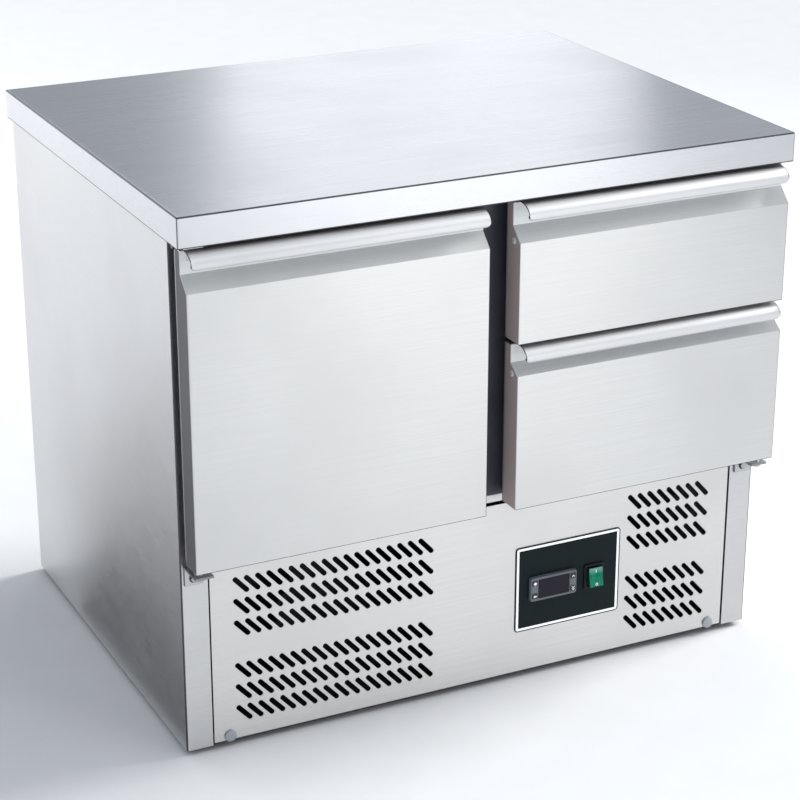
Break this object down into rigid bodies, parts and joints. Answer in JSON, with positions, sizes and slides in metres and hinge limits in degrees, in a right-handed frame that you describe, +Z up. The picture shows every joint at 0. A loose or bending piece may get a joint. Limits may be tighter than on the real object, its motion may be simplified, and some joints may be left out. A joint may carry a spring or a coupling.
{
  "type": "refrigerated work counter",
  "caption": "Low stainless-steel refrigerated counter with a flat worktop, a hinged door, stacked drawers and a slotted machine-room grille with thermostat and rocker switch.",
  "frame": {"origin": "middle of the outer box on the floor", "axes": "+X to the right seen from the front, -Y towards the person in front of the door and drawers, +Z up"},
  "size_m": [0.9, 0.714, 0.772],
  "materials": {
    "steel": "satin brushed stainless sheet",
    "liner": "satin stainless liner sheet",
    "zinc": "zinc-coated sheet",
    "bracket": "zinc-plated steel",
    "foam": "rigid foam",
    "board": "stiffening board",
    "dark_plastic": "satin dark plastic",
    "gasket": "matte",
    "grey_plastic": "satin",
    "plate": "smooth film",
    "light_plastic": "satin",
    "display": "gloss",
    "button": "satin",
    "bezel": "satin black",
    "green": "translucent gloss",
    "wire": "plastic-coated wire",
    "fins": "mill",
    "enamel": "black enamel",
    "copper": "drawn tube"
  },
  "bodies": {
    "cabinet": {"worktop_skin": "steel", "worktop_core": "board", "side_panel_left": "steel", "side_panel_right": "steel", "back_panel": "zinc", "cabinet_insulation": "foam", "inner_liner": "liner", "front_frame": "dark_plastic", "front_sill": "steel", "drawer_partition": "liner", "base_pan": "zinc", "front_grille_panel": "steel", "grille_cap_left": "grey_plastic", "grille_cap_right": "grey_plastic", "control_plate": "plate", "thermostat_housing": "light_plastic", "thermostat_display": "display", "switch_bezel": "bezel", "lower_hinge_bracket_left": "bracket", "lower_hinge_bracket_right": "bracket", "lower_hinge_pin_left": "bracket", "lower_hinge_pin_right": "bracket", "upper_hinge_bracket": "bracket", "cable_gland": "bezel", "upper_drawer_runner_left": "zinc", "upper_drawer_runner_right": "zinc", "lower_drawer_runner_left": "zinc", "lower_drawer_runner_right": "zinc", "wire_shelf": "wire", "evaporator_coil": "fins", "evaporator_cover": "liner", "evaporator_fan_shaft": "zinc", "compressor": "enamel", "condenser_coil": "fins", "condenser_shroud": "enamel", "condenser_fan_motor": "enamel", "evaporation_tray": "bezel", "suction_pipe": "copper"},
    "door": {"door_skin": "steel", "door_handle_lip": "steel", "door_insulation": "foam", "door_inner_panel": "liner", "door_gasket": "gasket"},
    "upper_drawer": {"upper_drawer_skin": "steel", "upper_drawer_handle_lip": "steel", "upper_drawer_insulation": "foam", "upper_drawer_pan": "liner", "upper_drawer_gasket": "gasket"},
    "lower_drawer": {"lower_drawer_skin": "steel", "lower_drawer_handle_lip": "steel", "lower_drawer_insulation": "foam", "lower_drawer_pan": "liner", "lower_drawer_gasket": "gasket"},
    "button_set": {"button_set": "button"},
    "button_light": {"button_light": "button"},
    "button_up": {"button_up": "button"},
    "button_down": {"button_down": "button"},
    "rocker": {"rocker_switch": "green"},
    "evaporator_fan": {"evaporator_fan_blade": "bezel"},
    "condenser_fan": {"condenser_fan_blade": "bezel"}
  },
  "joints": [
    {"name": "door_hinge", "type": "hinge", "parent": "cabinet", "child": "door", "pos_m": [-0.43, -0.326, 0.293], "axis": [0, 0, -1], "range_deg": [0, 110]},
    {"name": "upper_drawer_slide", "type": "slide", "parent": "cabinet", "child": "upper_drawer", "axis": [0, -1, 0], "range_m": [0, 0.33]},
    {"name": "lower_drawer_slide", "type": "slide", "parent": "cabinet", "child": "lower_drawer", "axis": [0, -1, 0], "range_m": [0, 0.33]},
    {"name": "button_set_press", "type": "slide", "parent": "cabinet", "child": "button_set", "axis": [0, 1, 0], "range_m": [0, 0.001], "stiffness_N_per_m": 400},
    {"name": "button_light_press", "type": "slide", "parent": "cabinet", "child": "button_light", "axis": [0, 1, 0], "range_m": [0, 0.001], "stiffness_N_per_m": 400},
    {"name": "button_up_press", "type": "slide", "parent": "cabinet", "child": "button_up", "axis": [0, 1, 0], "range_m": [0, 0.001], "stiffness_N_per_m": 400},
    {"name": "button_down_press", "type": "slide", "parent": "cabinet", "child": "button_down", "axis": [0, 1, 0], "range_m": [0, 0.001], "stiffness_N_per_m": 400},
    {"name": "rocker_tilt", "type": "hinge", "parent": "cabinet", "child": "rocker", "pos_m": [0.181, -0.2991, 0.139], "axis": [1, 0, 0], "range_deg": [0, 18]},
    {"name": "evaporator_fan_spin", "type": "hinge", "parent": "cabinet", "child": "evaporator_fan", "pos_m": [-0.17, 0.1974, 0.611], "axis": [0, 1, 0], "continuous": true},
    {"name": "condenser_fan_spin", "type": "hinge", "parent": "cabinet", "child": "condenser_fan", "pos_m": [0.13, -0.0847, 0.1095], "axis": [0, 1, 0], "continuous": true}
  ]
}
